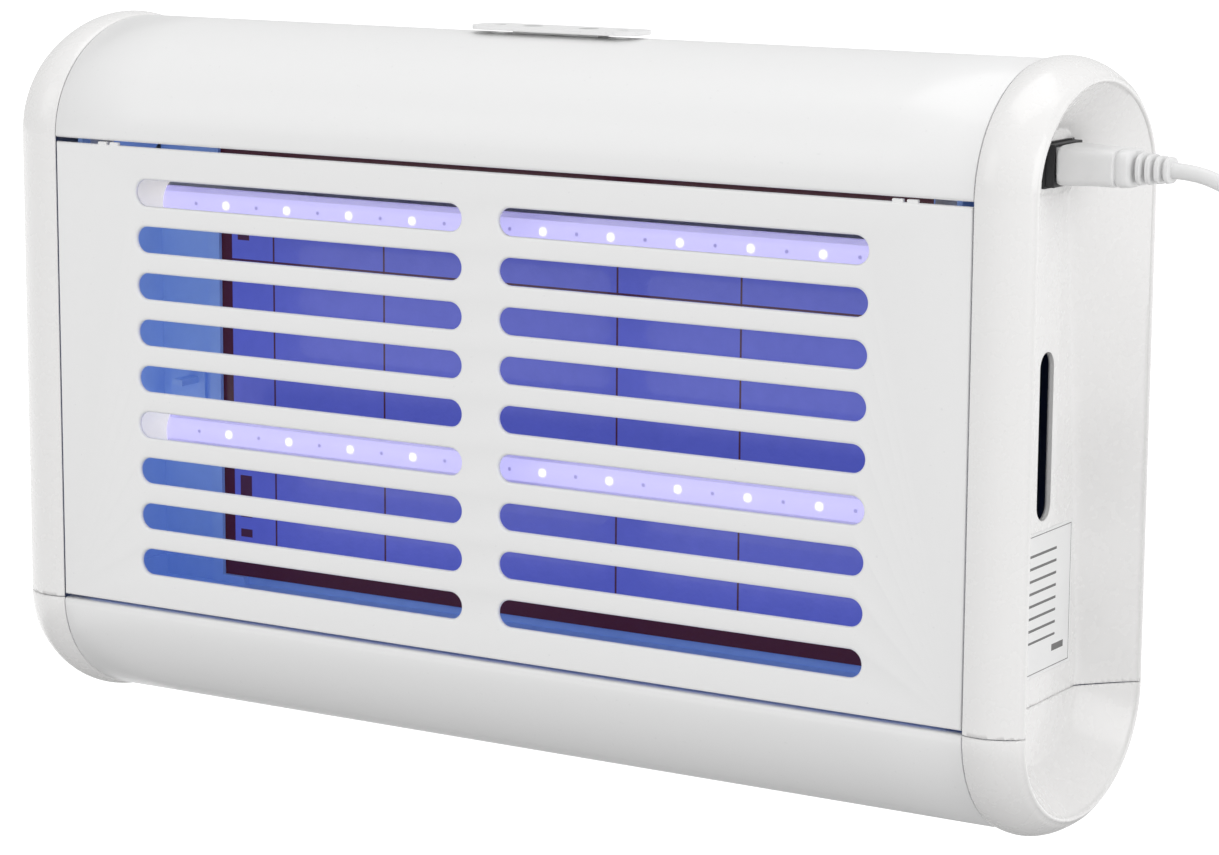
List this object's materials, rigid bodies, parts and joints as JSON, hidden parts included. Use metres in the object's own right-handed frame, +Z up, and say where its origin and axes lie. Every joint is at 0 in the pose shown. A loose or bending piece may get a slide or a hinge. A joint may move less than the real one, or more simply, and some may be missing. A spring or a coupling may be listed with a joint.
{
  "type": "hanging insect light trap",
  "caption": "Double-sided hanging light trap for flying insects, with hinged slotted grilles, lamp tubes, glue boards and a mains lead.",
  "frame": {"origin": "middle of the hanger plate's top face, which is the highest face of the part", "axes": "+X to the right along the housing, towards the mains inlet; +Y to the rear; +Z up"},
  "size_m": [0.6505, 0.1394, 0.345],
  "materials": {
    "white_housing": "satin",
    "cap_plastic": "satin",
    "blue_lit_frame": "satin",
    "steel": "zinc plated",
    "aluminium": "satin",
    "lens": "diffusing",
    "lamp_white": "satin",
    "glue_card": "sticky card",
    "black_plastic": "matt",
    "brass": "bright",
    "white_cord": "satin",
    "label": "printed film",
    "grey_wire": "matt"
  },
  "bodies": {
    "housing": {"top_cover": "white_housing", "bottom_cover": "white_housing", "left_end_cap": "cap_plastic", "right_end_cap": "cap_plastic", "left_lower_cap": "cap_plastic", "right_lower_cap": "cap_plastic", "hinge_pins": "steel", "left_side_frame": "blue_lit_frame", "right_side_frame": "blue_lit_frame", "centre_frame": "blue_lit_frame", "top_deck": "steel", "catch_tray": "blue_lit_frame", "front_board_rails": "lens", "rear_board_rails": "lens", "front_upper_tube_holder_left": "lamp_white", "front_upper_tube_holder_right": "lamp_white", "front_lower_tube_holder_left": "lamp_white", "front_lower_tube_holder_right": "lamp_white", "rear_upper_tube_holder_left": "lamp_white", "rear_upper_tube_holder_right": "lamp_white", "rear_lower_tube_holder_left": "lamp_white", "rear_lower_tube_holder_right": "lamp_white", "terminal_block": "lamp_white", "wiring": "grey_wire", "mains_inlet": "black_plastic", "inlet_blades": "brass", "rating_plate": "label", "hanger_plate": "white_housing", "hanger_bolts": "steel", "cap_screws": "steel", "cover_screws": "steel"},
    "front_grille": {"front_grille": "white_housing"},
    "rear_grille": {"rear_grille": "white_housing"},
    "front_glue_board": {"front_glue_board": "glue_card"},
    "rear_glue_board": {"rear_glue_board": "glue_card"},
    "front_catches": {"front_catches": "lamp_white"},
    "rear_catches": {"rear_catches": "lamp_white"},
    "mains_lead": {"mains_connector": "white_cord", "cord_lead": "white_cord", "cord_coil": "white_cord", "cord_tail": "white_cord", "cord_tie": "black_plastic", "mains_plug": "white_cord", "plug_pins": "brass"},
    "front_upper_tube": {"front_upper_tube_heatsink": "aluminium", "front_upper_tube_lens": "lens", "front_upper_tube_leds": "lamp_white", "front_upper_tube_ends": "lamp_white"},
    "front_lower_tube": {"front_lower_tube_heatsink": "aluminium", "front_lower_tube_lens": "lens", "front_lower_tube_leds": "lamp_white", "front_lower_tube_ends": "lamp_white"},
    "rear_upper_tube": {"rear_upper_tube_heatsink": "aluminium", "rear_upper_tube_lens": "lens", "rear_upper_tube_leds": "lamp_white", "rear_upper_tube_ends": "lamp_white"},
    "rear_lower_tube": {"rear_lower_tube_heatsink": "aluminium", "rear_lower_tube_lens": "lens", "rear_lower_tube_leds": "lamp_white", "rear_lower_tube_ends": "lamp_white"}
  },
  "joints": [
    {"name": "front_grille_hinge", "type": "hinge", "parent": "housing", "child": "front_grille", "pos_m": [0, -0.0655, -0.2804], "axis": [1, 0, 0], "range_deg": [0, 95]},
    {"name": "rear_grille_hinge", "type": "hinge", "parent": "housing", "child": "rear_grille", "pos_m": [0, 0.0655, -0.2804], "axis": [-1, 0, 0], "range_deg": [0, 95]},
    {"name": "front_glue_board_slide", "type": "slide", "parent": "housing", "child": "front_glue_board", "axis": [0, 0, 1], "range_m": [0, 0.006]},
    {"name": "rear_glue_board_slide", "type": "slide", "parent": "housing", "child": "rear_glue_board", "axis": [0, 0, 1], "range_m": [0, 0.006]},
    {"name": "front_catch_spring", "type": "slide", "parent": "housing", "child": "front_catches", "axis": [0, 0, 1], "range_m": [0, 0.003], "stiffness_N_per_m": 300},
    {"name": "rear_catch_spring", "type": "slide", "parent": "housing", "child": "rear_catches", "axis": [0, 0, 1], "range_m": [0, 0.003], "stiffness_N_per_m": 300},
    {"name": "connector_pull", "type": "slide", "parent": "housing", "child": "mains_lead", "axis": [1, 0, 0], "range_m": [0, 0.02]},
    {"name": "front_upper_tube_twist", "type": "hinge", "parent": "housing", "child": "front_upper_tube", "pos_m": [0, -0.04, -0.0887], "axis": [1, 0, 0], "range_deg": [0, 90]},
    {"name": "front_lower_tube_twist", "type": "hinge", "parent": "housing", "child": "front_lower_tube", "pos_m": [0, -0.04, -0.1992], "axis": [1, 0, 0], "range_deg": [0, 90]},
    {"name": "rear_upper_tube_twist", "type": "hinge", "parent": "housing", "child": "rear_upper_tube", "pos_m": [0, 0.04, -0.0887], "axis": [-1, 0, 0], "range_deg": [0, 90]},
    {"name": "rear_lower_tube_twist", "type": "hinge", "parent": "housing", "child": "rear_lower_tube", "pos_m": [0, 0.04, -0.1992], "axis": [-1, 0, 0], "range_deg": [0, 90]}
  ]
}
